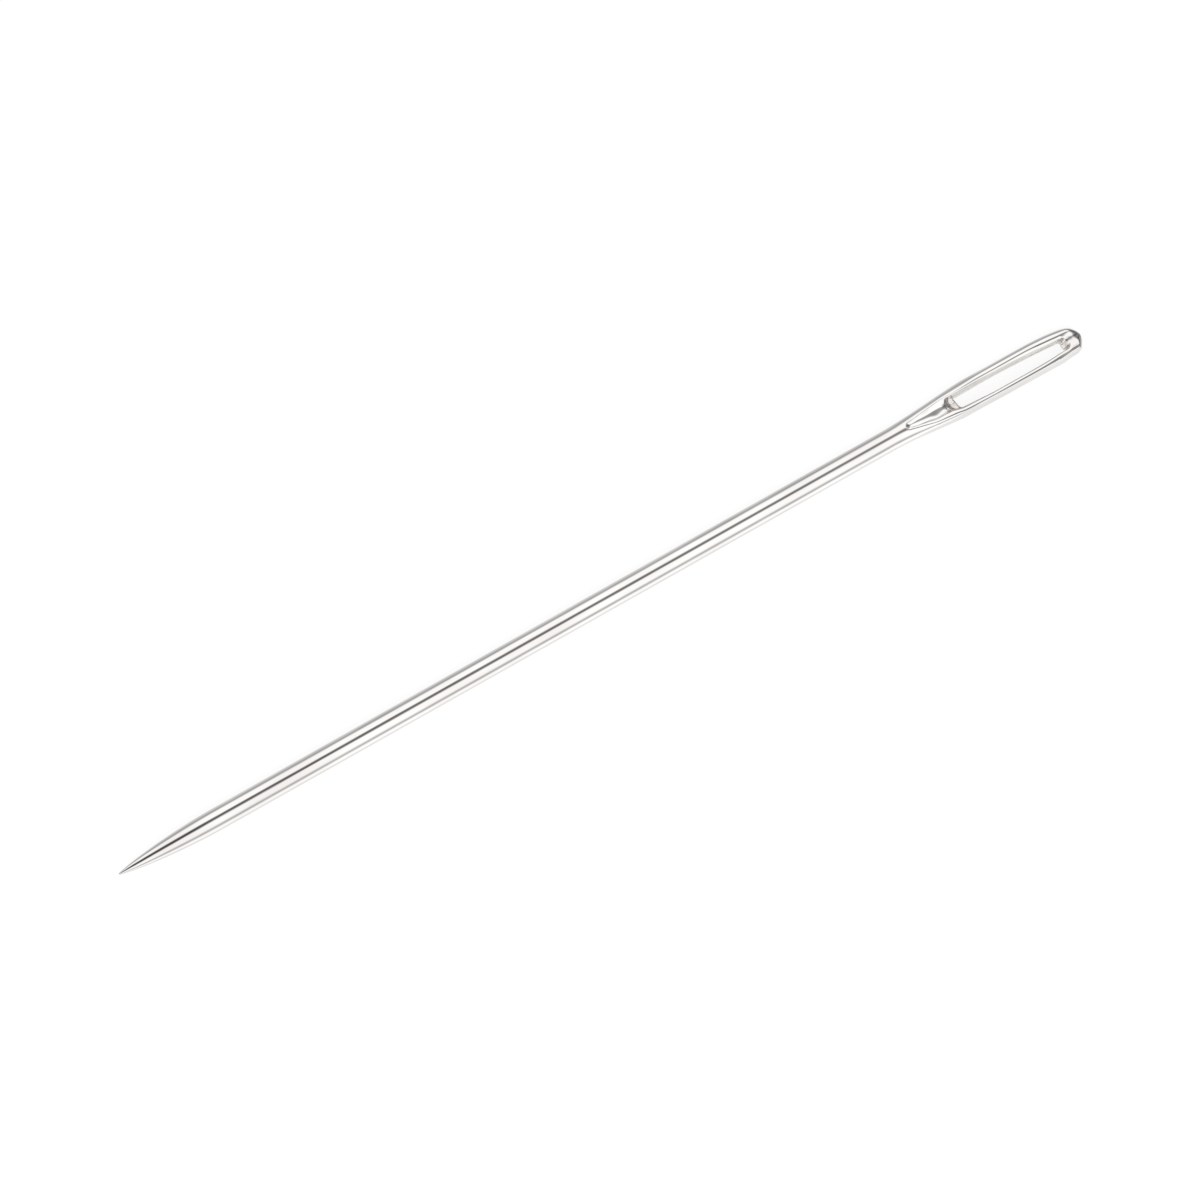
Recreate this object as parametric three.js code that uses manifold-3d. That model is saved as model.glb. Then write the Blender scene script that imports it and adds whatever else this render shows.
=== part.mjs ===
// A straight upholstery needle: one length of drawn steel wire with a ground point at one end,
// and at the other a head that is stamped wide, grooved on both faces and pierced by a long eye.
// Millimetres, +Z up. The needle lies on the plane z = 0 along X, its point towards -X, and its
// eye opens along Z. The origin is on that plane, under the middle of the needle.
// The one length of wire is given as two solids that meet face to face where the head begins:
// the shank, which is one simple convex form, and the head, which goes round the open eye.
import * as THREE from "three";
import { mergeVertices } from "three/addons/utils/BufferGeometryUtils.js";
import Module from "manifold-3d";

const wasm = await Module();
wasm.setup();

// The wire
const needleLength = 100;
const wireDiameter = 2.08;

// The ground point
const pointLength = 10;
const pointSwell = 1.7; // how early the taper reaches the wire's full size
const pointSlimness = 0.75; // how straight it runs near the tip: 1 is a straight cone there
const tipDiameter = 0.08;

// The eye: a hole through a thin web, at the bottom of a recess in each face
const eyeLength = 10.5;
const eyeWidth = 1.26;
const eyeCorner = 0.5; // radius in the hole's corners, which leaves a short flat at each end
const eyeToEnd = 2.25; // metal between the hole and the needle's end
const webThickness = 0.3;
const ledgeLength = 0.6; // web left at each end of the hole
const ledgeWidth = 0.1; // and along each side of it
const recessDraft = 0.08; // how far the recess's walls lean back

// The stamped head
const railWidth = 0.81; // metal beside the recess
const headThickness = 2; // of its oval, before the grooves
const headSquareness = 3; // exponent of the oval: 2 is an ellipse, more is squarer
const shoulderLength = 9.5; // where the round wire becomes the wide head
const shoulderPastEye = 1.9; // how far the widening goes on beside the eye
const crownLength = 2.94; // the rounded end, seen from above
const crownEdgeLength = 0.9; // and seen from the side
const crownSquareness = 2.3;
const crownCut = 0.02; // ground off the very end, which leaves a small flat

// The grooves that lead a thread into the eye, one in each face
const grooveLength = 4.6; // from the groove's nose to the recess
const grooveNoseWidth = 0.76;
const grooveNoseDepth = 0.14;
const grooveWidth = 2;
const grooveDepth = 0.4;
const grooveOverrun = 1; // how far the cut runs on, past the needle's end

// Fineness of the surface
const wireSides = 48;
const pointRings = 14;
const shoulderRings = 12;
const crownRings = 10;
const eyeCornerSides = 4;

const wireRadius = wireDiameter / 2;
const axisHeight = wireRadius * Math.cos(Math.PI / wireSides); // one flat of the wire is on z = 0
const tipX = -needleLength / 2;
const endX = needleLength / 2;
const eyeMiddleX = endX - eyeToEnd - eyeLength / 2;
const recessLength = eyeLength + 2 * ledgeLength;
const recessWidth = eyeWidth + 2 * ledgeWidth;
const recessDepth = (headThickness - webThickness) / 2;
const headWidth = recessWidth + 2 * railWidth;
const shoulderEndX = eyeMiddleX - eyeLength / 2 + shoulderPastEye;
const headX = shoulderEndX - shoulderLength;
const crownX = endX - crownLength;

const mix = (a, b, share) => a + (b - a) * share;
const clamp01 = (v) => Math.min(1, Math.max(0, v));
const smooth = (v) => clamp01(v) ** 2 * (3 - 2 * clamp01(v));
const stations = (count, place) => Array.from({ length: count }, (_, i) => place((i + 1) / count));

// How much of its size the head keeps at x, where it is rounded off over a length before its end.
function roundOff(x, length) {
  const share = clamp01((x - endX + length) / (length + crownCut));
  return (1 - share ** crownSquareness) ** (1 / crownSquareness);
}

// Cross-sections are centred on the needle's axis, unless they give a height above it.
function wireSection(x) {
  return { x, halfWidth: wireRadius, halfHeight: wireRadius, squareness: 2 };
}

function pointSection(x) {
  const left = 1 - clamp01((x - tipX) / pointLength);
  const radius = mix(tipDiameter / 2, wireRadius, (1 - left ** pointSwell) ** pointSlimness);
  return { x, halfWidth: radius, halfHeight: radius, squareness: 2 };
}

function headSection(x) {
  const share = smooth((x - headX) / shoulderLength);
  return {
    x,
    halfWidth: mix(wireRadius, headWidth / 2, share) * roundOff(x, crownLength),
    halfHeight: mix(wireRadius, headThickness / 2, share) * roundOff(x, crownEdgeLength),
    squareness: mix(2, headSquareness, share),
  };
}

// A closed body through a row of cross-sections: a lathe's rings, each laid out as its own oval.
// The offset turns every ring by that many of its sides. At a half, a flat faces straight down.
function loft(sections, sides, offset) {
  const last = sections.length - 1;
  const profile = sections.map((section, i) => new THREE.Vector2(1, i));
  const outline = [new THREE.Vector2(0, 0), ...profile, new THREE.Vector2(0, last)];
  const geometry = new THREE.LatheGeometry(outline, sides);
  const position = geometry.getAttribute("position");
  const point = new THREE.Vector3();
  for (let i = 0; i < position.count; i++) {
    point.fromBufferAttribute(position, i);
    const { x, halfWidth, halfHeight, squareness, height = 0 } = sections[Math.round(point.y)];
    const reach = Math.hypot(point.x, point.z) < 0.5 ? 0 : 1;
    const turn = Math.atan2(point.x, point.z) + (offset * 2 * Math.PI) / sides;
    const across = reach * Math.cos(turn);
    const up = reach * Math.sin(turn);
    const y = halfWidth * Math.sign(across) * Math.abs(across) ** (2 / squareness);
    const z = halfHeight * Math.sign(up) * Math.abs(up) ** (2 / squareness);
    position.setXYZ(i, x, y, height + z);
  }
  return geometry;
}

// A long hole's outline: a rectangle with rounded corners.
function slot(length, width, cornerRadius) {
  const radius = Math.min(cornerRadius, width / 2);
  const x = length / 2 - radius;
  const y = width / 2 - radius;
  const shape = new THREE.Shape();
  shape.absarc(x, y, radius, 0, Math.PI / 2);
  shape.absarc(-x, y, radius, Math.PI / 2, Math.PI);
  shape.absarc(-x, -y, radius, Math.PI, 1.5 * Math.PI);
  shape.absarc(x, -y, radius, 1.5 * Math.PI, 2 * Math.PI);
  return shape;
}

function eyeHole() {
  const geometry = new THREE.ExtrudeGeometry(slot(eyeLength, eyeWidth, eyeCorner), {
    depth: 2 * headThickness,
    bevelEnabled: false,
    curveSegments: eyeCornerSides,
  });
  return geometry.translate(eyeMiddleX, 0, -headThickness);
}

// The recess over the hole: its walls lean back from the web up to the head's top.
function eyeRecess() {
  const outline = slot(recessLength, recessWidth, eyeCorner + ledgeWidth);
  const geometry = new THREE.ExtrudeGeometry(outline, {
    depth: recessDepth,
    bevelThickness: recessDepth,
    bevelSize: recessDraft,
    bevelSegments: 1,
    curveSegments: eyeCornerSides,
  });
  return geometry.translate(eyeMiddleX, 0, headThickness / 2);
}

// The groove's cutter is centred on the head's top, with a diamond section whose lower half
// makes the V. It widens from the nose to the recess, and then runs straight past the end.
function groove() {
  const section = (x, width, depth, height) => {
    return { x, halfWidth: width / 2, halfHeight: depth, squareness: 2, height };
  };
  const mouthX = eyeMiddleX - recessLength / 2;
  const noseX = mouthX - grooveLength;
  const nose = section(noseX, grooveNoseWidth, grooveNoseDepth, headSection(noseX).halfHeight);
  const mouth = section(mouthX, grooveWidth, grooveDepth, headSection(mouthX).halfHeight);
  const past = section(endX + grooveOverrun, grooveWidth, grooveDepth, headThickness / 2);
  return loft([nose, mouth, past], 4, 0);
}

function toSolid(geometry) {
  const bare = geometry.clone();
  bare.deleteAttribute("normal");
  bare.deleteAttribute("uv");
  const merged = mergeVertices(bare, 1e-5);
  return new wasm.Manifold(
    new wasm.Mesh({
      numProp: 3,
      vertProperties: merged.getAttribute("position").array,
      triVerts: new Uint32Array(merged.getIndex().array),
    }),
  );
}

function toGeometry(solid) {
  const mesh = solid.getMesh();
  const geometry = new THREE.BufferGeometry();
  geometry.setAttribute("position", new THREE.BufferAttribute(mesh.vertProperties, 3));
  geometry.setIndex(new THREE.BufferAttribute(mesh.triVerts, 1));
  geometry.computeVertexNormals();
  return geometry;
}

// The shank: the ground point and the plain wire behind it.
function shank() {
  const point = stations(pointRings, (share) => pointSection(tipX + pointLength * share ** 2));
  return loft([pointSection(tipX), ...point, wireSection(headX)], wireSides, 0.5);
}

// The head: it widens over the shoulder, runs straight beside the eye and ends in the crown.
function eyeHead() {
  const shoulder = stations(shoulderRings, (share) => headSection(headX + shoulderLength * share));
  const crown = stations(crownRings, (share) => {
    return headSection(crownX + crownLength * Math.sin((share * Math.PI) / 2));
  });
  const sections = [wireSection(headX), ...shoulder, headSection(crownX), ...crown];
  let head = toSolid(loft(sections, wireSides, 0.5)).subtract(toSolid(eyeHole()));
  for (const cutter of [eyeRecess(), groove()]) {
    head = head.subtract(toSolid(cutter));
    head = head.subtract(toSolid(cutter.rotateX(Math.PI)));
  }
  return toGeometry(head);
}

const nickelPlatedSteel = { color: 0xd6d3cc, roughness: 0.12, metalness: 1 };

const needle = new THREE.Group();
needle.position.z = axisHeight;

function addSolid(name, geometry) {
  const solid = new THREE.Mesh(geometry, new THREE.MeshStandardMaterial(nickelPlatedSteel));
  solid.name = name;
  needle.add(solid);
}

addSolid("shank", shank());
addSolid("eye_head", eyeHead());

export default needle;
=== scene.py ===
# %% [markdown]
# # An upholstery needle
#
# A long, straight needle for sewing covers and tying buttons. It is one piece of drawn steel
# wire: one end is ground to a long, slightly swollen point, and the other is stamped wide,
# grooved on both faces and pierced by a long eye. Polished nickel plate covers all of it.
#
# The CAD frame has the needle's size and main shape. This lesson models it again as one
# smooth mesh, so that its edges are softly rounded, as a stamped and tumbled needle's are.

import math
from collections import namedtuple

import bmesh
import bpy
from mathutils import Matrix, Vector


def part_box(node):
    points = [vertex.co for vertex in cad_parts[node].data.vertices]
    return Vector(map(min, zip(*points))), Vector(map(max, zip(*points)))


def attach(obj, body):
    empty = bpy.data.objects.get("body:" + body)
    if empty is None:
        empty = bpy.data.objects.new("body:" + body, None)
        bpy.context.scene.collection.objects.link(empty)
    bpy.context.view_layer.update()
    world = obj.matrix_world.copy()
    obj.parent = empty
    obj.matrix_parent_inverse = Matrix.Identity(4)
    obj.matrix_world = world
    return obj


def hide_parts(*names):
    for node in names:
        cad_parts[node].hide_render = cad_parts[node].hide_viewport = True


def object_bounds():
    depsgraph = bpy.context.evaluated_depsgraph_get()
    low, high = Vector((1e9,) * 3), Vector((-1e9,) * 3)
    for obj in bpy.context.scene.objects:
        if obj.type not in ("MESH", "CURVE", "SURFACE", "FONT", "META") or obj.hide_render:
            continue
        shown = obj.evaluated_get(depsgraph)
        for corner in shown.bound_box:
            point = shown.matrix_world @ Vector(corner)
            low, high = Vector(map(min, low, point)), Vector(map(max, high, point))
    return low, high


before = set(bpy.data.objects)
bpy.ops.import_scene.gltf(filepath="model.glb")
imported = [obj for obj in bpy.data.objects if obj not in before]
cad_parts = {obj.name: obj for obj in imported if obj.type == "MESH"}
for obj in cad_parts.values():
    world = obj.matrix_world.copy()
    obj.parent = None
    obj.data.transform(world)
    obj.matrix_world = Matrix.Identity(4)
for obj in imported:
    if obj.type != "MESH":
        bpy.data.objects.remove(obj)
cad_low, cad_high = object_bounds()
print("CAD nodes:", sorted(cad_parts))

# %% [markdown]
# ## Camera
#
# The needle is seen from almost straight above, through a long lens, so that it hardly tapers
# with distance. The camera leans a little towards the point and towards the near side, which
# shows the inner wall of the eye on the far side.

# %% Camera
camera_azimuth = math.radians(-30.37)
camera_elevation = math.radians(74)
camera_distance = 0.5985
lens_length = 200
sensor_width = 36
look_at_pixel = (604.6, 600.6)  # where the needle's middle stands in an image of 1200 by 1200
image_size = 1200

needle_middle = (cad_low + cad_high) / 2
back = Vector(
    (
        math.sin(camera_azimuth) * math.cos(camera_elevation),
        -math.cos(camera_azimuth) * math.cos(camera_elevation),
        math.sin(camera_elevation),
    )
)
turn = (-back).to_track_quat("-Z", "Y")
right = turn @ Vector((1, 0, 0))
up = turn @ Vector((0, 1, 0))
metres_per_pixel = camera_distance * sensor_width / lens_length / image_size
move_right = (image_size / 2 - look_at_pixel[0]) * metres_per_pixel
move_up = (look_at_pixel[1] - image_size / 2) * metres_per_pixel

camera_data = bpy.data.cameras.new("camera")
camera_data.lens = lens_length
camera_data.sensor_width = sensor_width
camera_data.clip_start = 0.01
camera_data.clip_end = 20
camera = bpy.data.objects.new("camera", camera_data)
camera.rotation_mode = "QUATERNION"
camera.rotation_quaternion = turn
camera.location = needle_middle + back * camera_distance + right * move_right + up * move_up
bpy.context.scene.collection.objects.link(camera)
bpy.context.scene.camera = camera
bpy.context.scene.view_settings.view_transform = "Standard"
print("one pixel covers", round(metres_per_pixel * 1000, 4), "mm")

# %% [markdown]
# ## Helpers for materials
#
# Every material, the floor and the room are made of nodes. One function adds a node with its
# settings, its values and its links, and another turns a colour as it is written in a picture
# into the linear colour that the renderer calculates with.

# %% Node helper and colours
def linear(hex_colour):
    """The linear RGBA colour of an sRGB hex colour."""
    channels = [int(hex_colour[i : i + 2], 16) / 255 for i in (1, 3, 5)]
    return [c / 12.92 if c <= 0.04045 else ((c + 0.055) / 1.055) ** 2.4 for c in channels] + [1]


def add(tree, kind, inputs=None, **settings):
    """Adds a node. Each input is given a value, an output to link, or a node to link."""
    node = tree.nodes.new(kind)
    for name, value in settings.items():
        setattr(node, name, value)
    for key, value in (inputs or {}).items():
        if isinstance(value, bpy.types.Node):
            value = next(output for output in value.outputs if output.enabled)
        if isinstance(value, bpy.types.NodeSocket):
            tree.links.new(value, node.inputs[key])
        else:
            node.inputs[key].default_value = value
    return node


# %% [markdown]
# ## The studio
#
# A polished needle is a row of mirrors: it has hardly a colour of its own, and shows the room.
# Product photographers light such wire with two long white panels, one on each side, and leave
# a dark gap between them over the needle. The gap draws the dark line along the wire's middle,
# the panels draw the white bands, and the dimmer room behind them draws grey edges.
#
# Lamps close to the needle would be in the way of a camera that goes round it, so the panels
# are painted on the world. The angle round the needle's length places them: it is 0 overhead,
# and grows towards the near side.

# %% World
world = bpy.data.worlds.new("studio")
world.use_nodes = True
world.cycles.sampling_method = "NONE"  # so that all the needle's reflections count as glossy rays
bpy.context.scene.world = world
tree = world.node_tree
tree.nodes.clear()

direction = add(tree, "ShaderNodeTexCoord").outputs["Generated"]
axes = add(tree, "ShaderNodeSeparateXYZ", {0: direction})
along = axes.outputs["X"]
towards_near = add(tree, "ShaderNodeMath", {0: axes.outputs["Y"], 1: -1.0}, operation="MULTIPLY")
angle = add(tree, "ShaderNodeMath", {0: towards_near, 1: axes.outputs["Z"]}, operation="ARCTAN2")
print("nodes that give the angle:", len(tree.nodes))


# %% Smooth steps of light
def dim(tree, level, steps):
    """Multiplies a level by a row of smooth steps.

    Each is given as the value that it follows, the places on that value where it starts and
    ends, and the factors before and after it.
    """
    for value, start, end, low, high in steps:
        limits = {"Value": value, "From Min": start, "From Max": end, "To Min": low, "To Max": high}
        factor = add(tree, "ShaderNodeMapRange", limits, interpolation_type="SMOOTHSTEP")
        level = add(tree, "ShaderNodeMath", {0: level, 1: factor}, operation="MULTIPLY")
    return level


# %% The dark gap between the panels
# Towards the point only a part of the angle counts. That widens the gap, so that the dark line
# stays bold where the needle is thin.
limits = {"Value": along, "From Min": -0.3, "From Max": 0.1, "To Min": 0.5, "To Max": 1.0}
angle_share = add(tree, "ShaderNodeMapRange", limits, interpolation_type="SMOOTHSTEP")
gap_angle = add(tree, "ShaderNodeMath", {0: angle, 1: angle_share}, operation="MULTIPLY")
gap_darkness = 0.94
gap_steps = [
    (gap_angle, math.radians(-23), math.radians(-7), 0.0, 1.0),  # its far edge
    (gap_angle, math.radians(3), math.radians(19), 1.0, 0.0),  # its near edge
    (along, -0.05, 0.4, 1.0, 0.72),  # it is paler towards the eye
]
gap = dim(tree, gap_darkness, gap_steps)
print("steps of the gap:", len(gap_steps))

# %% The panels, and the dimmer room round them
panel_level = 1.2
room_steps = [
    (angle, math.radians(-80), math.radians(-55), 0.35, 1.0),  # behind the far panel
    (angle, math.radians(56), math.radians(82), 1.0, 0.45),  # behind the near panel
    (along, 0.45, 0.8, 1.0, 0.2),  # past the needle's eye, where there is no panel
]
level = add(tree, "ShaderNodeMath", {0: 1.0, 1: gap}, operation="SUBTRACT")
level = add(tree, "ShaderNodeMath", {0: level, 1: panel_level}, operation="MULTIPLY")
level = dim(tree, level, room_steps)

in_metal = add(tree, "ShaderNodeLightPath").outputs["Is Glossy Ray"]
level = add(tree, "ShaderNodeMix", {"Factor": in_metal, "A": 1.0, "B": level})
background = add(tree, "ShaderNodeBackground", {"Color": (1, 1, 1, 1), "Strength": level})
add(tree, "ShaderNodeOutputWorld", {"Surface": background})
print("world nodes:", len(tree.nodes))

# %% [markdown]
# ## The floor
#
# The needle lies on white paper. Under a lamp alone the paper would turn grey away from the
# lamp, so the camera sees it as plain white whatever the light is. A small part of it is left
# to the light, which keeps the needle's soft shadow. In the metal the paper's light is painted:
# a painted pool of light beside the needle, dimmer away from it and past the eye, and a painted
# shade of the needle right beside it.

# %% Floor material
paper_shine = 0.86  # how much of the paper is plain white, whatever the light
# Painted light: the paper's brightness as the metal sees it beside the needle.
painted_paper_light = 1.22  # how bright the metal sees the paper beside the needle


def new_material(name):
    """A material without nodes, and its node tree."""
    material = bpy.data.materials.new(name)
    material.use_nodes = True
    material.node_tree.nodes.clear()
    return material, material.node_tree


paper, tree = new_material("white_paper")
rays = add(tree, "ShaderNodeLightPath").outputs
in_metal = rays["Is Glossy Ray"]
seen = add(tree, "ShaderNodeMath", {0: rays["Is Camera Ray"], 1: in_metal}, operation="MAXIMUM")
through = rays["Is Transmission Ray"]
seen = add(tree, "ShaderNodeMath", {0: seen, 1: through}, operation="MAXIMUM")
share = add(tree, "ShaderNodeMath", {0: seen, 1: paper_shine}, operation="MULTIPLY")

place = add(tree, "ShaderNodeTexCoord").outputs["Object"]
place = add(tree, "ShaderNodeSeparateXYZ", {0: place}).outputs
# Painted light and shade on the paper as the metal sees it: a pool of light round the needle, and a
# painted shade right beside it.
painted_light_steps = [
    (place["Y"], -0.018, -0.0045, 0.64, 1.0),  # painted light, dimmer towards the near side
    (place["Y"], -0.003, -0.0016, 1.0, 0.72),  # painted shade of the needle beside it
    (place["Y"], 0.001, 0.007, 1.0, 0.56),  # painted light, dimmer towards the far side
    (place["X"], 0.0502, 0.0525, 1.0, 0.3),  # painted dimmer light past the eye
]
level = dim(tree, painted_paper_light, painted_light_steps)
level = add(tree, "ShaderNodeMix", {"Factor": in_metal, "A": 1.0, "B": level})

lit = add(tree, "ShaderNodeBsdfDiffuse", {"Color": linear("#FCFCFC")})
white = add(tree, "ShaderNodeEmission", {"Color": (1, 1, 1, 1), "Strength": level})
mixed = add(tree, "ShaderNodeMixShader", {0: share, 1: lit, 2: white})
add(tree, "ShaderNodeOutputMaterial", {"Surface": mixed})
print("paper:", len(tree.nodes), "nodes")

# %% Floor
floor_half_width = 3
bm = bmesh.new()
bmesh.ops.create_grid(bm, x_segments=1, y_segments=1, size=floor_half_width)
floor_mesh = bpy.data.meshes.new("floor")
bm.to_mesh(floor_mesh)
bm.free()
floor_mesh.materials.append(paper)
floor = bpy.data.objects.new("floor", floor_mesh)
bpy.context.scene.collection.objects.link(floor)
print("floor:", 2 * floor_half_width, "m across")

# %% [markdown]
# One broad, soft lamp stands on the near side. It gives the shadow on the paper a direction.
# The needle itself shows the painted panels, so the lamp is kept out of its reflections.

# %% Lamp
lamp_data = bpy.data.lights.new("soft_lamp", "AREA")
lamp_data.size = 0.8
lamp_data.energy = 7
lamp = bpy.data.objects.new("soft_lamp", lamp_data)
lamp.location = (-0.3, -0.7, 1.0)
lamp.rotation_mode = "QUATERNION"
lamp.rotation_quaternion = (needle_middle - lamp.location).to_track_quat("-Z", "Y")
lamp.visible_glossy = False
bpy.context.scene.collection.objects.link(lamp)
print("lamp:", lamp_data.energy, "W")

# %% [markdown]
# ## The needle's sizes
#
# Lengths are in millimetres here, measured from the needle's axis, and the finished mesh is
# scaled to metres and raised onto the floor. The CAD frame gives the overall sizes.
#
# The stamp changes all along the head, so most of its sizes are given at a few places, as
# stops of X and a value, and a curve without corners runs through them. A corner there would
# show as a kink in every reflection.

# %% Sizes from the frame
mm = 0.001
shank_low, shank_high = (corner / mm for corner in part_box("shank"))
head_low, head_high = (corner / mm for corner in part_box("eye_head"))
tip_x = shank_low.x
end_x = head_high.x
head_x = head_low.x
wire_radius = (shank_high.z - shank_low.z) / 2
print("wire", round(2 * wire_radius, 3), "mm, head", round(head_high.y - head_low.y, 3), "mm wide")


# %% Smooth values along the needle
def mix(a, b, share):
    return a + (b - a) * share


def clamp(value, low=0.0, high=1.0):
    return min(high, max(low, value))


def smooth(value):
    """A smooth step from 0 to 1."""
    value = clamp(value)
    return value * value * (3 - 2 * value)


def between(x, stops):
    """A curve without corners through a few (x, value) stops, and level outside them."""
    if x <= stops[0][0]:
        return stops[0][1]
    if x >= stops[-1][0]:
        return stops[-1][1]
    slopes = [(v1 - v0) / (x1 - x0) for (x0, v0), (x1, v1) in zip(stops, stops[1:])]
    bends = [(a + b) / 2 if a * b > 0 else 0.0 for a, b in zip(slopes, slopes[1:])]
    bends = [0.0] + bends + [0.0]
    i = max(k for k in range(len(slopes)) if stops[k][0] <= x)
    (x0, v0), (x1, v1) = stops[i], stops[i + 1]
    length = x1 - x0
    rise = v1 - v0
    start = bends[i] * length
    end = bends[i + 1] * length
    t = (x - x0) / length
    return v0 + start * t + (3 * rise - 2 * start - end) * t**2 + (start + end - 2 * rise) * t**3


def soft_max(a, b, radius):
    """The higher of two heights, with the edge where they cross rounded."""
    share = clamp(0.5 + 0.5 * (a - b) / radius)
    return mix(b, a, share) + radius * share * (1 - share)


# %% [markdown]
# ## The plain body
#
# The wire is round. Its point is not a cone: it swells a little, as a point that is ground by
# hand against a belt does. The head is a flattened oval, squarer on its near side, where the
# die's edge pressed the metal out, and its crown is ground blunt, with a corner on each side.
#
# A lathe could make the wire and its point, but not the head, and a seam between the two would
# break the reflections. So one function gives the oval section at any place from the tip to
# the crown, and each side of the needle has its own half of it.

# %% Wire, point and shoulder
far, near = 1, -1  # the needle's two sides, and the sign of Y there
point_length = 10
point_swell = 1.7  # how early the taper reaches the wire's full size
point_slimness = 0.75  # how straight it runs near the tip: 1 is a straight cone there
tip_radius = 0.04
shoulder_end_x = 39.15  # where the head has its full size
crown_x = 47.0  # where the crown starts
outline = {  # how far the head reaches on each side of the axis
    far: [
        (36.0, 1.54), (38.5, 1.57), (41.0, 1.52), (44.5, 1.51), (46.5, 1.44), (47.4, 1.36),
        (48.6, 1.21), (49.5, 1.03), (50.0, 0.92),
    ],
    near: [
        (36.0, 1.54), (38.5, 1.44), (41.0, 1.48), (46.0, 1.53), (47.2, 1.55), (48.6, 1.47),
        (49.5, 1.43), (50.0, 1.31),
    ],
}
body_middle = [(46.0, 0.0), (49.2, -0.17)]  # Y of the oval's middle
head_height = {  # of half the oval, before it is stamped
    far: [(34.0, 1.0), (50.0, 1.0)],
    near: [(34.0, 1.0), (39.0, 0.9), (47.0, 0.9), (48.6, 0.8)],
}
squareness = {  # 2 is an ellipse, and more is squarer
    far: [(29.65, 2.0), (33.9, 2.4), (35.6, 2.4), (38.5, 2.15), (41.5, 2.0), (50.0, 2.0)],
    near: [
        (29.65, 2.0), (32.0, 2.2), (33.9, 3.5), (35.6, 4.8), (36.6, 8.0), (37.6, 20.0),
        (47.0, 20.0), (48.6, 12.0),
    ],
}

Oval = namedtuple("Oval", ["half_width", "half_height", "squareness"])


def section(x, side):
    """The plain oval at x, as it is on one side of its middle."""
    left = 1 - min(1.0, (x - tip_x) / point_length)
    radius = mix(tip_radius, wire_radius, (1 - left**point_swell) ** point_slimness)
    share = smooth((x - head_x) / (shoulder_end_x - head_x))
    width = mix(radius, between(x, outline[side]) - side * between(x, body_middle), share)
    height = mix(radius, between(x, head_height[side]), share)
    return Oval(width, height, between(x, squareness[side]))


def oval_height(y, oval):
    aside = abs(y / oval.half_width)
    if aside >= 1:
        return 0.0
    return oval.half_height * (1 - aside**oval.squareness) ** (1 / oval.squareness)


for name, side in (("far", far), ("near", near)):
    print(name, "half of the head:", round(section(crown_x, side).half_width, 2), "mm wide")

# %% Crown
blunt_length = {far: 0.6, near: 0.52}  # how far the crown's corners are behind its middle
blunt_roundness = 1.5  # 1 would make straight lines from the middle to the corners
rim_length = 0.92  # how far from the end the crown's edge is rounded over
rim_lengths = [(-0.65, 0.5), (-0.25, rim_length)]  # at Y: it is shorter on the near side
rim_softness = 1.35  # how gently the rounding starts
rim_steepness = 0.55  # and how steeply it ends: less is steeper


def rim(x, y):
    """How much of its height the head keeps near its blunt end."""
    share = clamp(1 - (end_x - x) / between(y, rim_lengths))
    return (1 - share**rim_softness) ** rim_steepness


def drawn_back(x, y, side):
    """How far a point is drawn back, so that the crown's end is blunt with two corners."""
    into_crown = clamp((x - crown_x) / (end_x - crown_x))
    aside = clamp(abs(y) / section(x, side).half_width)
    return blunt_length[side] * aside**blunt_roundness * into_crown**2


print("the crown is", round(end_x - crown_x, 2), "mm long")

# %% [markdown]
# ## The stamped forms
#
# A die presses a groove and a recess into each face, a little off the wire's middle. Between
# them and the outline a rounded rail is left on each side. The groove starts as a narrow nose
# in the shoulder, widens like an arrow to the eye, and its floor falls before the step down to
# the recess. Polishing rounds the rails' edges over the eye and wears a narrow flat on the
# near crest.
#
# Booleans could cut these forms, but they leave sharp edges and long thin faces, which a
# mirror finish shows at once. Here the forms are heights instead. The groove's lip and the
# rail's crest are distances from the stamp's middle line, and the valley is the height of the
# groove's bottom over the needle's axis.

# %% Where the stamp's lines run
stamp_middle = [
    (30.0, 0.0), (31.8, 0.04), (36.0, 0.03), (37.6, -0.12), (47.6, -0.12), (48.7, -0.19),
    (50.0, -0.21),
]
lip_stops = {
    far: [
        (31.6, 0.27), (33.8, 0.4), (35.1, 0.56), (36.2, 0.66), (37.6, 0.75), (40.0, 0.75),
        (42.7, 0.69), (44.4, 0.62), (46.5, 0.52), (47.6, 0.46), (50.0, 0.46),
    ],
    near: [
        (31.6, 0.25), (32.5, 0.4), (33.9, 0.58), (34.9, 0.63), (35.8, 0.69), (36.3, 0.74),
        (38.6, 0.84), (40.5, 0.94), (46.0, 0.92), (47.6, 0.84), (50.0, 0.8),
    ],
}
crest_stops = {
    far: [
        (31.6, 0.33), (33.8, 0.51), (35.1, 0.67), (36.4, 0.78), (38.5, 0.96), (41.0, 1.02),
        (44.0, 1.01), (46.5, 0.98), (47.6, 0.93), (48.66, 0.84), (49.3, 0.67), (50.0, 0.5),
    ],
    near: [
        (31.6, 0.34), (32.55, 0.54), (33.5, 0.77), (34.1, 0.92), (34.9, 1.07), (35.8, 1.16),
        (36.5, 1.19), (38.0, 1.24), (40.4, 1.29), (45.0, 1.29), (46.6, 1.23), (47.6, 1.12),
        (48.66, 0.87), (49.37, 0.69), (50.0, 0.55),
    ],
}
pressed = [(31.55, 0.0), (31.85, 1.0)]  # the groove's nose, where the stamp comes in
in_crown = [(47.8, 0.0), (48.9, 1.0)]  # where the forms beside the eye turn into the crown's
step_x = 35.8  # where the groove's floor ends at the recess over the eye
recess_end_x = 48.55
recess_corner = 0.35  # radius of the recess's corners, seen from above


def stamp_shift(x, side):
    """How far the stamp's middle line is from the oval's middle, towards one side."""
    return side * (between(x, stamp_middle) - between(x, body_middle))


print("the recess is", round(recess_end_x - step_x, 2), "mm long")

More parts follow.
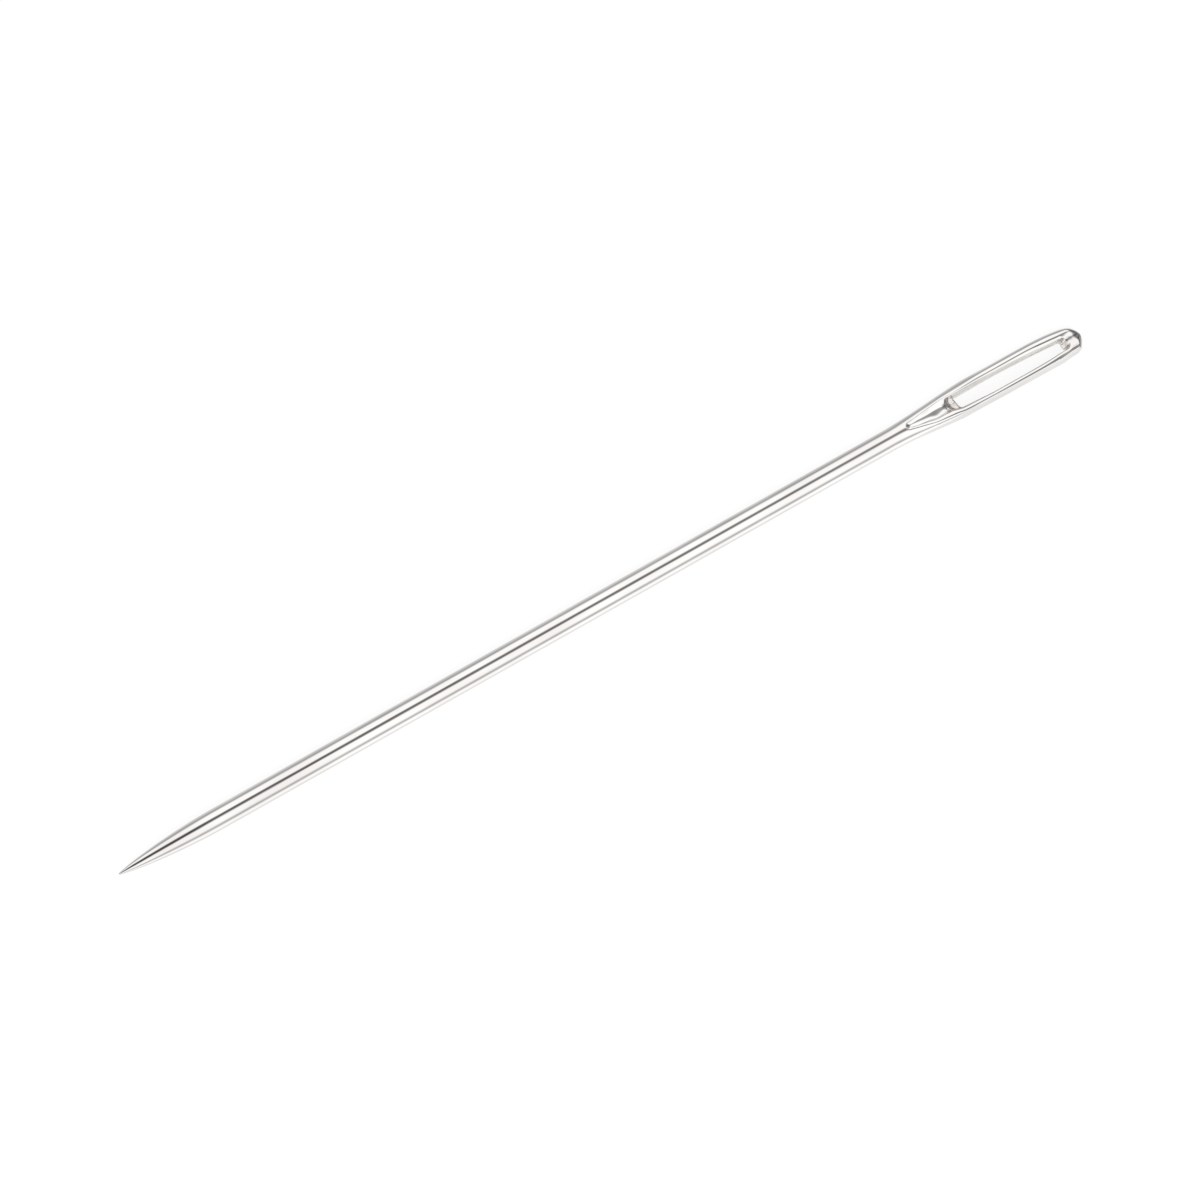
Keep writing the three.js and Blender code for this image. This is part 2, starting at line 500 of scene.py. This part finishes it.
# %% How the rails are rounded
crest_radius = {  # with which the rail's top bends down towards its lip
    far: [
        (31.6, 0.6), (32.6, 0.25), (34.0, 0.25), (39.0, 0.6), (41.0, 0.85), (45.0, 0.95),
        (46.5, 1.3), (48.2, 1.3), (49.0, 0.95),
    ],
    near: [
        (31.6, 0.6), (32.6, 0.5), (34.0, 0.7), (35.4, 1.0), (38.5, 3.0), (47.0, 3.5),
        (50.0, 3.5),
    ],
}
worn_share = [(36.0, 0.0), (37.5, 1.0), (46.6, 1.0), (48.0, 0.0)]  # of the near crest's flat
worn_width = 0.12
worn_slope = 0.165  # how much it falls towards the outline, in each mm
lip_round = {  # how wide the rail's edge over the eye is rounded
    far: [(35.9, 0.03), (37.5, 0.05)],
    near: [(35.9, 0.05), (37.5, 0.46), (47.5, 0.46), (48.4, 0.1)],
}
lip_steepest = {far: 0.97, near: 0.6}  # sine of the steepest angle that it reaches
lip_rounded = [  # where this rounding starts and ends
    (step_x - 0.3, 0.0),
    (step_x, 1.0),
    (recess_end_x - 0.6, 1.0),
    (recess_end_x - 0.1, 0.0),
]
print("the near edge beside the eye is rounded over", between(crown_x, lip_round[near]), "mm")

# %% How deep the groove is
valley_height = [
    (31.6, 1.06), (31.9, 0.9), (33.0, 0.81), (33.9, 0.7), (34.9, 0.66), (35.4, 0.6),
    (35.9, 0.49), (36.4, 0.42), (46.0, 0.53), (48.0, 0.55), (50.0, 0.57),
]
valley_flat = {  # half the width of its flat bottom
    far: [(33.0, 0.0), (34.0, 0.02)],
    near: [(32.4, 0.0), (33.6, 0.09), (48.4, 0.09)],
}
valley_round = {  # how round it is beside the flat: 0 would be a sharp V
    far: [(31.6, 0.15), (33.0, 0.28), (36.0, 0.4)],
    near: [(31.6, 0.15), (33.0, 0.45), (36.0, 0.8)],
}
crown_flat = [(48.4, 0.0), (49.0, 0.08)]  # the same in the crown
crown_round = 0.6  # and this, on its near side. The far one is a smooth step
crown_inset = 0.1  # how far inside the crest the rail starts there
groove_blend = 0.05  # how softly the groove runs out where it is shallow
lip_drop = {  # height of a small step just inside the lip
    far: [(31.6, 0.0), (32.4, 0.01), (37.0, 0.0)],
    near: [(31.8, 0.0), (33.2, 0.04), (35.9, 0.06), (37.2, 0.0)],
}
drop_width = 0.18
step_height = between(step_x, valley_height)
print("the valley is", round(step_height, 2), "mm over the axis before the recess")

# %% [markdown]
# ## Lines and stations
#
# The mesh starts as a flat sheet, half of the needle's skin unrolled. Its columns are stations
# along the needle and its rows are lines that run from the point to the crown: one line in the
# middle, the same number on each side of it, and the last ones on the outline. On the wire the
# lines are evenly spaced round a circle. In the head some of them follow the lips and the
# crests of the rails, so that these come out crisp, and the others share the rest. Blender's
# grid is such a sheet, with its faces in place, so only its points have to be moved.

# %% Lines that follow the stamp
lines_per_side = 24
edge_line, lip_line, crest_line, flank_line = 6, 9, 12, 15  # which lines follow the stamp
gathering_length = 2.1  # how far into the head the lines have moved over to the stamp
lip_gap = 0.03  # from the lip in to the recess's edge, and out to the rounding
lip_top_limit = 0.68  # the rounding stays within this share of the way from lip to crest
narrowest_rail = 0.06  # least distance from the lip to the crest
widest_crest = 0.96  # the crest stays within this share of the way to the outline
widest_flank = 0.8  # and the flank within this share of the way from the crest to it
corner_fade = 0.6  # how far past the recess its lines spread again
nudge = 0.01  # half the distance over which the oval's slope is measured

StampLines = namedtuple("StampLines", ["edge", "lip", "lip_top", "crest", "flank", "outline"])


def stamp_lines(x, side):
    """How far from the stamp's middle line its own lines and the outline are at x."""
    oval = section(x, side)
    shift = stamp_shift(x, side)
    lip = between(x, lip_stops[side])
    crest = max(between(x, crest_stops[side]), lip + narrowest_rail)
    # The recess has round corners, so its edge is pinched towards the middle line at its ends.
    past = max(step_x - x, x - recess_end_x)
    inside = clamp(recess_corner + past, 0, recess_corner)
    pinch = recess_corner - math.sqrt(recess_corner**2 - inside**2)
    if past > 0:
        pinch = recess_corner * (1 - smooth(past / corner_fade))
    edge = lip - lip_gap - pinch
    lip_top = min(lip + lip_gap + between(x, lip_round[side]), mix(lip, crest, lip_top_limit))
    room = oval.half_width - shift
    fit = min(1.0, widest_crest * room / crest)
    crest = fit * crest
    heights = [oval_height(crest + shift + y, oval) for y in (-nudge, nudge)]
    fall = (heights[0] - heights[1]) / (2 * nudge)
    flank = min(crest + between(x, crest_radius[side]) * fall, mix(crest, room, widest_flank))
    return StampLines(fit * edge, fit * lip, fit * lip_top, crest, flank, room)


near_stamp = stamp_lines(crown_x, near)
print("the near crest is", round(near_stamp.crest, 2), "mm from the stamp's middle line")


# %% All the lines
def crossings(x, side):
    """Distances from the stamp's middle line at which the sheet's lines cross a station."""
    stamp = stamp_lines(x, side)
    lines = [0, edge_line, lip_line, crest_line, flank_line]
    places = [0.0, stamp.edge, stamp.lip_top, stamp.crest, stamp.flank]
    ys = []
    for i in range(flank_line + 1):
        k = max(j for j in range(len(lines) - 1) if lines[j] <= i)
        ys.append(mix(places[k], places[k + 1], (i - lines[k]) / (lines[k + 1] - lines[k])))
    power = section(x, side).squareness
    start = math.asin(clamp(stamp.flank / stamp.outline) ** (power / 2))
    left = lines_per_side - flank_line
    for i in range(left):
        turn = mix(start, math.pi / 2, (i + 1) / left)
        ys.append(stamp.outline * math.sin(turn) ** (2 / power))
    round_ys = [
        stamp.outline * math.sin(math.radians(90 * i / lines_per_side))
        for i in range(lines_per_side + 1)
    ]
    gathered = smooth((x - head_x) / gathering_length)
    return [mix(a, b, gathered) for a, b in zip(round_ys, ys)]


print(len(crossings(crown_x, far)), "lines from the middle to the outline")


# %% Heights
def bowl(y, reach, soft):
    """How far a groove has risen at y, from 0 in its middle to 1: a V with a rounded bottom."""
    return min(1.0, (math.hypot(y, soft) - soft) / (math.hypot(reach, soft) - soft))


def rail_height(x, y, side, stamp):
    """Height of the rounded rail, before its edge over the eye is rounded."""
    oval = section(x, side)
    shift = stamp_shift(x, side)
    height = oval_height(y + shift, oval)
    worn_y = stamp.crest - worn_width
    if side == near and y > worn_y:
        worn = oval_height(worn_y + shift, oval) - worn_slope * (y - worn_y)
        height = mix(height, min(height, worn), between(x, worn_share))
    bend = max(0.0, stamp.flank - y) ** 2 / (2 * between(x, crest_radius[side]))
    return height - between(x, pressed) * bend


def groove_rise(x, y, side, stamp):
    """How far the groove has risen at y, from 0 at its bottom to 1 at the rail."""
    flat = between(x, valley_flat[side])
    rise = bowl(max(0.0, y - flat), stamp.lip - flat, between(x, valley_round[side]))
    flat = between(x, crown_flat)
    aside = max(0.0, y - flat)
    reach = stamp.crest - flat
    crown_rise = smooth(aside / reach) if side == far else bowl(aside, reach, crown_round)
    return mix(rise, crown_rise, between(x, in_crown))


def top_height(x, y, side):
    """Height of the upper face over the axis, at a distance from the stamp's middle line."""
    stamp = stamp_lines(x, side)
    rail_start = mix(stamp.lip, stamp.crest - crown_inset, between(x, in_crown))
    on_rail = mix(y, max(y, rail_start), between(x, pressed))  # the rail's place nearest to y
    rail = rail_height(x, on_rail, side, stamp)
    depth = soft_max(rail - between(x, valley_height), 0.0, groove_blend)
    depth *= 1 - groove_rise(x, y, side, stamp)
    dropped = 1 - smooth((y - stamp.lip - lip_gap) / drop_width + 1)
    depth += between(x, lip_drop[side]) * dropped * clamp(y / stamp.lip)
    width = between(x, lip_round[side])
    into = clamp((stamp.lip_top - y) / width, 0, lip_steepest[side])
    rounding = between(x, lip_rounded) * width * (1 - math.sqrt(1 - into**2))
    top = rail - between(x, pressed) * depth - rounding
    return max(0.0, top) * rim(x, side * y + between(x, stamp_middle))


near_rail_height = 2 * top_height(crown_x, near_stamp.crest, near)
print("the near rail is", round(near_rail_height, 2), "mm thick")

# %% Stations
point_rings = 18
ring_crowding = 1.8  # how much closer the rings are towards the tip
stations = [
    tip_x + point_length * (i / point_rings) ** ring_crowding for i in range(point_rings + 1)
]
for end, count in [
    (head_x, 12),  # the plain wire
    (31.2, 5),  # the start of the shoulder
    (32.4, 12),  # the groove's nose
    (35.4, 10),  # the groove
    (37.2, 15),  # the step down to the recess
    (crown_x, 16),  # the rails beside the eye
    (48.5, 13),  # the end of the eye
    (end_x - rim_length, 4),
]:
    start = stations[-1]
    stations += [mix(start, end, (i + 1) / count) for i in range(count)]
rim_turns = (82, 74, 66, 57, 48, 39, 30, 20, 10, 0)  # in degrees, down to the very end
stations += [end_x - rim_length * (1 - math.cos(math.radians(turn))) for turn in rim_turns]
print(len(stations), "stations")

# %% Sheet
bm = bmesh.new()
bmesh.ops.create_grid(bm, x_segments=len(stations) - 1, y_segments=2 * lines_per_side, size=1)
line_ys = {side: [crossings(x, side) for x in stations] for side in (far, near)}
# The grid's points come row by row, from the near outline to the far one.
for index, vert in enumerate(bm.verts):
    row, column = divmod(index, len(stations))
    line = abs(row - lines_per_side)
    side = near if row < lines_per_side else far
    x = stations[column]
    y = line_ys[side][column][line]
    z = 0.0 if line == lines_per_side else top_height(x, y, side)
    sideways = side * y + between(x, stamp_middle)
    vert.co = (x - drawn_back(x, sideways - between(x, body_middle), side), sideways, z)
bm.normal_update()
print(len(bm.faces), "faces in the half skin")

# %% [markdown]
# ## The eye
#
# The real eye is punched: a die presses a recess into each face and a punch knocks out the
# thin web that is left. A boolean could cut the hole, but its edge would not follow the
# sheet's lines. So the same happens here as in the press. The faces over the eye are inset
# again and again, each time a little lower, which makes the recess's walls and the web's
# ledge. Then the innermost faces are deleted, and the hole's edge is drawn down to the middle.

# %% Faces over the eye
def is_over_eye(face):
    x = face.calc_center_median().x
    lines = [abs(vert.index // len(stations) - lines_per_side) for vert in face.verts]
    return step_x < x < recess_end_x and max(lines) <= edge_line


bm.verts.index_update()
over_eye = [face for face in bm.faces if is_over_eye(face)]
print(len(over_eye), "faces over the eye")

# %% Recess
wall_steps = [
    # (how far in, height there, or None to sink a little, how much more at the left and right end)
    (0.015, None, 0.0, 0.03),
    (0.025, 0.37, 0.18, 0.1),
    (0.025, 0.22, 0.16, 0.14),
    (0.012, 0.17, 0.05, 0.08),
    (0.02, 0.13, 0.06, 0.06),
    (0.035, 0.12, 0.72, 0.16),
    (0.015, 0.09, 0.05, 0.02),
]
rim_sink = 0.035
end_zone = 1.6  # how far from each end of the recess the ends' own shape reaches
ledge_fall = 0.42  # how steeply the web's ends fall to the middle line
left_slant = 0.0165  # how much further each step leans there, for each mm to a side
right_slant = 0.025
torn_edge = 0.01  # how much more ragged the punch leaves each step at the right end
tear_waves = (23, 9)  # in radians for each mm
tear_shift = 2
far_wall_back = [(0.1, 0.0), (0.5, 0.014)]  # at Y: each step of the far wall stands steeper
walls = []
for step, (inwards, height, left_length, right_length) in enumerate(wall_steps):
    ring = bmesh.ops.inset_region(
        bm, faces=over_eye, thickness=inwards, depth=0, use_boundary=True, use_even_offset=False
    )
    walls += ring["faces"]
    for vert in {vert for face in over_eye for vert in face.verts}:
        x = vert.co.x
        y = vert.co.y - between(x, stamp_middle)
        at_left = 1 - smooth((x - step_x) / end_zone)
        at_right = 1 - smooth((recess_end_x - x) / end_zone)
        if height is None:
            vert.co.z -= rim_sink
        else:
            vert.co.z = height + ledge_fall * abs(y) * max(at_left, at_right)
        tear = math.sin(tear_waves[0] * y) * math.sin(tear_waves[1] * y + tear_shift)
        vert.co.x += at_left * (left_length - left_slant * y * step)
        vert.co.x -= at_right * (right_length + right_slant * max(0.0, y) * step)
        vert.co.x += at_right * torn_edge * tear * step
        vert.co.y += between(y, far_wall_back) * (1 - at_left) * (1 - at_right)
print(len(walls), "faces in the recess's walls")

# %% Hole
punched = 1  # the second material's number
inner = set(over_eye)
hole_edge = [edge for edge in bm.edges if len(inner.intersection(edge.link_faces)) == 1]
bmesh.ops.delete(bm, geom=over_eye, context="FACES")
hole_wall = bmesh.ops.extrude_edge_only(bm, edges=hole_edge)["geom"]
for vert in hole_wall:
    if isinstance(vert, bmesh.types.BMVert):
        vert.co.z = 0
walls += [face for face in hole_wall if isinstance(face, bmesh.types.BMFace)]
for face in walls:
    face.material_index = punched
print(len(bm.faces), "faces with the recess and its hole")

# %% [markdown]
# ## The other half
#
# The needle's lower face is the same as its upper one, so the half skin is mirrored. The
# tip's first ring is drawn together, and the doubles along the seam are merged.

# %% Mirror and close
touching = 1e-4  # points closer than this are one
sliver = 1e-5  # edges shorter than this are taken out
tip_ring = [vert for vert in bm.verts if abs(vert.co.x - tip_x) < touching]
bmesh.ops.pointmerge(bm, verts=tip_ring, merge_co=(tip_x, 0, 0))
geometry = bm.verts[:] + bm.edges[:] + bm.faces[:]
bmesh.ops.mirror(bm, geom=geometry, axis="Z", merge_dist=touching)
bmesh.ops.remove_doubles(bm, verts=bm.verts, dist=touching)
bmesh.ops.dissolve_degenerate(bm, dist=sliver, edges=bm.edges)
bmesh.ops.recalc_face_normals(bm, faces=bm.faces)
open_edges = [edge for edge in bm.edges if len(edge.link_faces) != 2]
print(len(open_edges), "open edges")

# %% [markdown]
# The mesh is finished in metres, like every piece here. One level of Subdivision Surface rounds
# it once more, which takes the last facets out of the reflections.

# %% To metres
bmesh.ops.translate(bm, verts=bm.verts, vec=(0, 0, wire_radius))
bmesh.ops.scale(bm, verts=bm.verts, vec=(mm, mm, mm))
needle_mesh = bpy.data.meshes.new("needle")
for face in bm.faces:
    face.smooth = True
bm.to_mesh(needle_mesh)
bm.free()
needle = bpy.data.objects.new("needle", needle_mesh)
bpy.context.scene.collection.objects.link(needle)
rounding = needle.modifiers.new("rounding", "SUBSURF")
rounding.levels = 1
rounding.render_levels = 1
print(len(needle_mesh.polygons), "faces before rounding")

# %% [markdown]
# ## Nickel plate
#
# The needle is bright all over: nickel is plated on the polished steel, and takes its mirror
# finish. Nickel is a slightly warm, light grey metal. Drawing and polishing leave very fine
# lines along the wire, which only break up the reflections a little, and the plate has a few
# tiny pits and faintly duller patches, where fingers and other needles have rubbed it.
#
# Such marks could be painted on an image, but an image needs unwrapping, and the needle is 48
# times as long as it is thick. Noise in the needle's own coordinates needs no unwrapping. It is
# stretched along the needle, because that is how the wire is drawn and polished.

# %% Pattern of a metal's surface
noise_low, noise_high = 0.3, 0.7  # nearly all of the noise lies between these


def pattern(tree, grain, low, high, detail=2.0):
    """Noise with grains of a size in metres along X, Y and Z, spread between two values."""
    place = add(tree, "ShaderNodeTexCoord").outputs["Object"]
    stretch = {0: place, 1: [1 / size for size in grain]}
    scaled = add(tree, "ShaderNodeVectorMath", stretch, operation="MULTIPLY")
    noise = add(tree, "ShaderNodeTexNoise", {"Vector": scaled, "Scale": 1.0, "Detail": detail})
    limits = {"Value": noise, "From Min": noise_low, "From Max": noise_high}
    return add(tree, "ShaderNodeMapRange", {**limits, "To Min": low, "To Max": high})


# %% Polished nickel plate
# To the viewer it is a clean mirror: crisp dark and white bands that run the needle's length.
# In a Mix node, 6 and 7 are the two colours.
polished_nickel, tree = new_material("polished_nickel_plate")
patches = pattern(tree, (6 * mm, 1.5 * mm, 1.5 * mm), 0.0, 1.0, detail=3.0)
tints = {"Factor": patches, 6: linear("#EFEDEB"), 7: linear("#E2DFDD")}
tint = add(tree, "ShaderNodeMix", tints, data_type="RGBA")
gloss = pattern(tree, (3 * mm, 0.3 * mm, 0.3 * mm), 0.03, 0.085)

# The real lines are about 0.02 mm apart. They are drawn coarser, so that a few of them show.
lines = pattern(tree, (5 * mm, 0.09 * mm, 0.09 * mm), 0.0, 1.0)
line_depth = 0.0009 * mm
relief = add(tree, "ShaderNodeBump", {"Strength": 1.0, "Distance": line_depth, "Height": lines})
finish = {"Metallic": 1.0, "Base Color": tint, "Roughness": gloss, "Normal": relief}
shader = add(tree, "ShaderNodeBsdfPrincipled", finish)
add(tree, "ShaderNodeOutputMaterial", {"Surface": shader})
print("polished nickel:", len(tree.nodes), "nodes")

# %% [markdown]
# The punch tears its way through the web, so the recess's walls are not polished. Polishing
# brushes do not reach them either. They keep short drag lines in the punch's direction and a
# dull, slightly warmer plate.

# %% Punched nickel plate
# To the viewer it is a soft grey edge round the needle's eye, with no mirror bands in it.
punched_nickel, tree = new_material("punched_nickel_plate")
patches = pattern(tree, (0.6 * mm, 0.6 * mm, 0.6 * mm), 0.0, 1.0, detail=4.0)
tints = {"Factor": patches, 6: linear("#EEEBE8"), 7: linear("#DDD8D4")}
tint = add(tree, "ShaderNodeMix", tints, data_type="RGBA")
gloss = pattern(tree, (0.1 * mm, 0.1 * mm, 0.4 * mm), 0.14, 0.3)
drags = pattern(tree, (0.1 * mm, 0.1 * mm, 1.2 * mm), 0.0, 1.0)
drag_depth = 0.007 * mm
relief = add(tree, "ShaderNodeBump", {"Strength": 1.0, "Distance": drag_depth, "Height": drags})
finish = {"Metallic": 1.0, "Base Color": tint, "Roughness": gloss, "Normal": relief}
shader = add(tree, "ShaderNodeBsdfPrincipled", finish)
add(tree, "ShaderNodeOutputMaterial", {"Surface": shader})
print("punched nickel:", len(tree.nodes), "nodes")

# %% Finish the needle
needle_mesh.materials.append(polished_nickel)
needle_mesh.materials.append(punched_nickel)
print("materials:", [material.name for material in needle_mesh.materials])

# %% [markdown]
# ## Back to the frame
#
# The needle has no joints, so it rides on the part's one body. The CAD has two nodes, so that
# the eye stays open for what touches it, and the one smooth mesh stands for both.

# %% Join the frame
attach(needle, "root")
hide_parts("shank", "eye_head")

# %% Sizes
print("CAD box", cad_low, cad_high)
